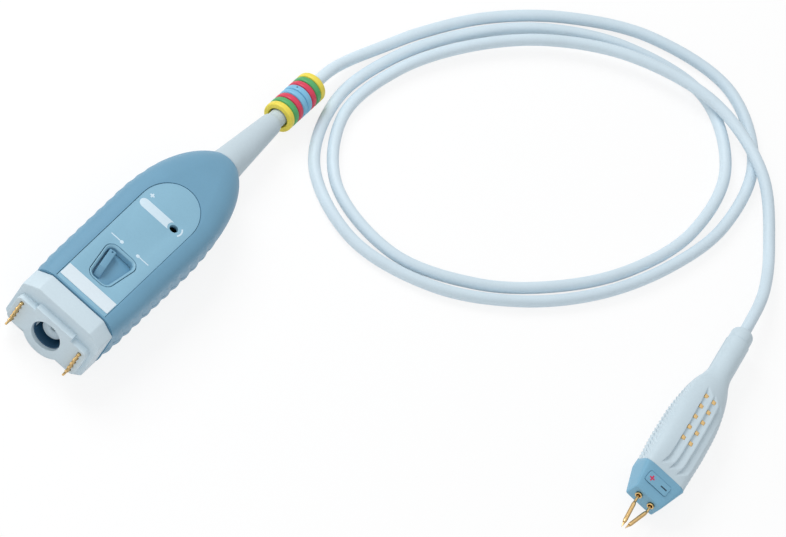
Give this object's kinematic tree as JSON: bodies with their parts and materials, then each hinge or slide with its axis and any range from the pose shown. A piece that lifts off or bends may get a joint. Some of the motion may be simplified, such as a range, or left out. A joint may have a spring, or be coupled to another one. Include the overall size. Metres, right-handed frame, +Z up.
{
  "type": "oscilloscope probe",
  "caption": "Active oscilloscope probe: interface box with bayonet connector and lock lever, boot with marker rings, looped cable and slim head with sprung tips.",
  "frame": {"origin": "on the flat underside of the interface box, 60 mm behind the mating face, under the connector axis", "axes": "+Y from the mating face to the boot, +X to the right of someone who looks at the mating face, +Z up from the surface that the box stands on"},
  "size_m": [0.219, 0.3127, 0.0247],
  "materials": {
    "blue_shell": "moulded ABS, fine satin grain",
    "label_panel": "satin printed film on a moulded plate",
    "pale_shell": "moulded ABS, fine satin grain",
    "pale_boot": "soft moulded elastomer",
    "cable_jacket": "extruded soft PVC jacket",
    "bare_plate": "plain satin film",
    "gold": "gold plated",
    "nickel": "bright nickel plated",
    "steel": "zinc plated",
    "insulator": "turned PTFE",
    "circuit_board": "solder mask on glass laminate",
    "dark_moulding": "moulded",
    "marker_yellow": "soft moulded",
    "marker_green": "soft moulded",
    "marker_red": "soft moulded",
    "marker_blue": "soft moulded"
  },
  "bodies": {
    "housing": {"box_top_shell": "blue_shell", "box_bottom_shell": "blue_shell", "end_cap": "pale_shell", "top_label_panel": "label_panel", "name_plate": "bare_plate", "connector_sleeve": "pale_shell", "connector_insulator": "insulator", "connector_center_pin": "gold", "connector_body": "nickel", "contact_carrier_left": "dark_moulding", "contact_carrier_right": "dark_moulding", "contact_board_left": "gold", "contact_board_right": "gold", "main_circuit_board": "circuit_board", "amplifier_shield": "nickel", "trimmer_body": "dark_moulding", "inner_cable_lead": "cable_jacket", "cable_clamp": "steel", "cable_boot": "pale_boot", "probe_cable": "cable_jacket", "head_tail_collar": "pale_shell", "head_cable_ferrule": "steel", "head_upper_shell": "pale_shell", "head_lower_shell": "pale_shell", "head_circuit_board": "circuit_board", "head_gold_pads": "gold", "head_nose": "blue_shell", "polarity_plate": "label_panel", "housing_screw_1": "steel", "housing_screw_2": "steel", "housing_screw_3": "steel", "housing_screw_4": "steel", "marker_ring_1_yellow": "marker_yellow", "marker_ring_2_green": "marker_green", "marker_ring_3_red": "marker_red", "marker_ring_4_blue": "marker_blue", "marker_ring_5_blue": "marker_blue", "marker_ring_6_red": "marker_red", "marker_ring_7_green": "marker_green", "marker_ring_8_yellow": "marker_yellow", "tip_socket_left": "gold", "tip_socket_right": "gold"},
    "lock": {"lock_ring": "blue_shell"},
    "lever": {"lock_lever": "blue_shell"},
    "trimmer": {"trimmer_rotor": "bare_plate"},
    "contact_left_1": {"contact_plunger_left_1": "gold"},
    "contact_left_2": {"contact_plunger_left_2": "gold"},
    "contact_left_3": {"contact_plunger_left_3": "gold"},
    "contact_left_4": {"contact_plunger_left_4": "gold"},
    "contact_left_5": {"contact_plunger_left_5": "gold"},
    "contact_right_1": {"contact_plunger_right_1": "gold"},
    "contact_right_2": {"contact_plunger_right_2": "gold"},
    "contact_right_3": {"contact_plunger_right_3": "gold"},
    "contact_right_4": {"contact_plunger_right_4": "gold"},
    "contact_right_5": {"contact_plunger_right_5": "gold"},
    "tip_left": {"tip_pin_left": "gold"},
    "point_left": {"tip_plunger_left": "gold"},
    "tip_right": {"tip_pin_right": "gold"},
    "point_right": {"tip_plunger_right": "gold"}
  },
  "joints": [
    {"name": "lock_turn", "type": "hinge", "parent": "housing", "child": "lock", "pos_m": [0, -0.03, 0.0105], "axis": [0, 1, 0], "range_deg": [0, 36]},
    {"name": "lever_turn", "type": "hinge", "parent": "housing", "child": "lever", "pos_m": [0, -0.044, 0.0205], "axis": [0, 0, -1], "range_deg": [0, 18]},
    {"name": "trimmer_turn", "type": "hinge", "parent": "housing", "child": "trimmer", "pos_m": [0.0056, 0.005, 0.019], "axis": [0, 0, 1], "range_deg": [-135, 135]},
    {"name": "contact_left_1_press", "type": "slide", "parent": "housing", "child": "contact_left_1", "axis": [0, 1, 0], "range_m": [0, 0.002], "stiffness_N_per_m": 200, "springref_m": -0.001},
    {"name": "contact_left_2_press", "type": "slide", "parent": "housing", "child": "contact_left_2", "axis": [0, 1, 0], "range_m": [0, 0.002], "stiffness_N_per_m": 200, "springref_m": -0.001},
    {"name": "contact_left_3_press", "type": "slide", "parent": "housing", "child": "contact_left_3", "axis": [0, 1, 0], "range_m": [0, 0.002], "stiffness_N_per_m": 200, "springref_m": -0.001},
    {"name": "contact_left_4_press", "type": "slide", "parent": "housing", "child": "contact_left_4", "axis": [0, 1, 0], "range_m": [0, 0.002], "stiffness_N_per_m": 200, "springref_m": -0.001},
    {"name": "contact_left_5_press", "type": "slide", "parent": "housing", "child": "contact_left_5", "axis": [0, 1, 0], "range_m": [0, 0.002], "stiffness_N_per_m": 200, "springref_m": -0.001},
    {"name": "contact_right_1_press", "type": "slide", "parent": "housing", "child": "contact_right_1", "axis": [0, 1, 0], "range_m": [0, 0.002], "stiffness_N_per_m": 200, "springref_m": -0.001},
    {"name": "contact_right_2_press", "type": "slide", "parent": "housing", "child": "contact_right_2", "axis": [0, 1, 0], "range_m": [0, 0.002], "stiffness_N_per_m": 200, "springref_m": -0.001},
    {"name": "contact_right_3_press", "type": "slide", "parent": "housing", "child": "contact_right_3", "axis": [0, 1, 0], "range_m": [0, 0.002], "stiffness_N_per_m": 200, "springref_m": -0.001},
    {"name": "contact_right_4_press", "type": "slide", "parent": "housing", "child": "contact_right_4", "axis": [0, 1, 0], "range_m": [0, 0.002], "stiffness_N_per_m": 200, "springref_m": -0.001},
    {"name": "contact_right_5_press", "type": "slide", "parent": "housing", "child": "contact_right_5", "axis": [0, 1, 0], "range_m": [0, 0.002], "stiffness_N_per_m": 200, "springref_m": -0.001},
    {"name": "tip_left_swivel", "type": "hinge", "parent": "housing", "child": "tip_left", "pos_m": [0.18916, 0.06979, 0.00822], "axis": [0.2011, -0.9796, 0], "continuous": true},
    {"name": "tip_left_press", "type": "slide", "parent": "tip_left", "child": "point_left", "axis": [-0.2373, 0.9714, 0.0099], "range_m": [0, 0.0012], "stiffness_N_per_m": 500, "springref_m": -0.0005},
    {"name": "tip_right_swivel", "type": "hinge", "parent": "housing", "child": "tip_right", "pos_m": [0.19474, 0.07094, 0.00669], "axis": [0.2011, -0.9796, 0], "continuous": true},
    {"name": "tip_right_press", "type": "slide", "parent": "tip_right", "child": "point_right", "axis": [0.0911, 0.9928, -0.0774], "range_m": [0, 0.0012], "stiffness_N_per_m": 500, "springref_m": -0.0005}
  ],
  "couplings": [
    {"joint": "lever_turn", "follows": "lock_turn", "ratio": 0.5}
  ]
}
